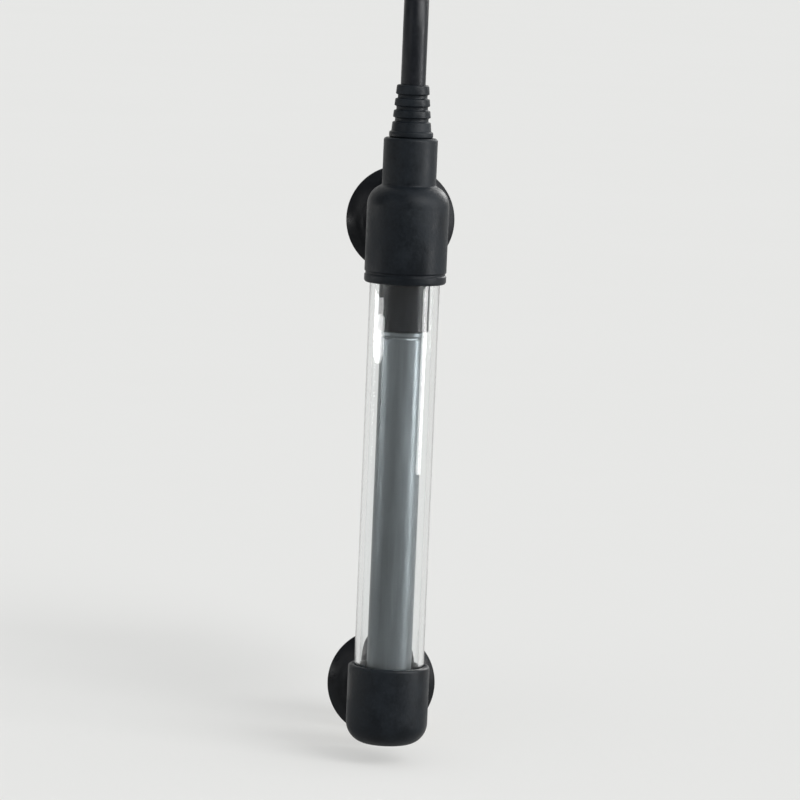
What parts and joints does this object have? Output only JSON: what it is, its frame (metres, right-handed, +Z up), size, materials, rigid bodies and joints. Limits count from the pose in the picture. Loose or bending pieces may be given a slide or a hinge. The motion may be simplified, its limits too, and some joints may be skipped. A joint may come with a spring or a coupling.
{
  "type": "submersible aquarium heater",
  "caption": "Slender submersible aquarium heater: clear glass tube with grey element and thermostat capsule, black rubber head and bottom cap, suction cups, black lead with plug.",
  "frame": {"origin": "centre of the upper suction cup's flat rim, in the plane of the wall that the cups stick to", "axes": "+Y out of the suction cups into the wall, +Z up along the glass tube, +X to the right as seen from the heater's front (from -Y)"},
  "size_m": [0.0266, 0.1291, 0.1675],
  "materials": {
    "clear_glass": "gloss",
    "black_rubber": "satin",
    "cup_rubber": "satin",
    "lead_jacket": "satin",
    "grey_silicone": "matte",
    "clear_silicone": "satin",
    "brown_insulation": "satin",
    "blue_insulation": "satin",
    "black_bakelite": "gloss",
    "brass": "satin",
    "bimetal": "satin",
    "silver": "gloss",
    "magnet": "satin",
    "tinned_copper": "satin",
    "sleeve_metal": "satin",
    "ceramic": "matte",
    "resistance_wire": "satin",
    "fuse_body": "satin",
    "plug_blade": "gloss"
  },
  "bodies": {
    "heater": {"glass_tube": "clear_glass", "head_cap": "black_rubber", "bottom_cap": "black_rubber", "cord_gland": "black_rubber", "cord_entry": "lead_jacket", "live_wire": "brown_insulation", "neutral_wire": "blue_insulation", "mouth_stopper": "grey_silicone", "thermostat_base": "black_bakelite", "thermostat_lid": "black_bakelite", "blade_post": "brass", "fixed_contact": "silver", "fixed_arm": "brass", "setting_screw": "brass", "snap_magnet": "magnet", "neutral_crimp": "tinned_copper", "thermal_fuse": "fuse_body", "element_sleeve": "sleeve_metal", "ceramic_former": "ceramic", "heating_coil": "resistance_wire", "upper_band": "tinned_copper", "lower_band": "tinned_copper", "return_wire": "tinned_copper", "element_foot": "ceramic", "end_cushion": "clear_silicone", "cord_rise": "lead_jacket", "cord_coil": "lead_jacket", "cord_tail": "lead_jacket", "coil_tie": "lead_jacket", "plug_body": "lead_jacket", "plug_blades": "plug_blade"},
    "upper_cup": {"upper_cup": "cup_rubber"},
    "lower_cup": {"lower_cup": "cup_rubber"},
    "blade": {"bimetal_blade": "bimetal", "moving_contact": "silver", "blade_rivet": "brass"}
  },
  "joints": [
    {"name": "upper_cup_swivel", "type": "hinge", "parent": "heater", "child": "upper_cup", "pos_m": [0, -0.006, 0], "axis": [0, 1, 0], "continuous": true},
    {"name": "lower_cup_swivel", "type": "hinge", "parent": "heater", "child": "lower_cup", "pos_m": [0, -0.006, -0.095], "axis": [0, 1, 0], "continuous": true},
    {"name": "bimetal_flex", "type": "hinge", "parent": "heater", "child": "blade", "pos_m": [0, -0.0182, -0.01085], "axis": [-1, 0, 0], "range_deg": [0, 3], "stiffness_Nm_per_rad": 0.014}
  ]
}
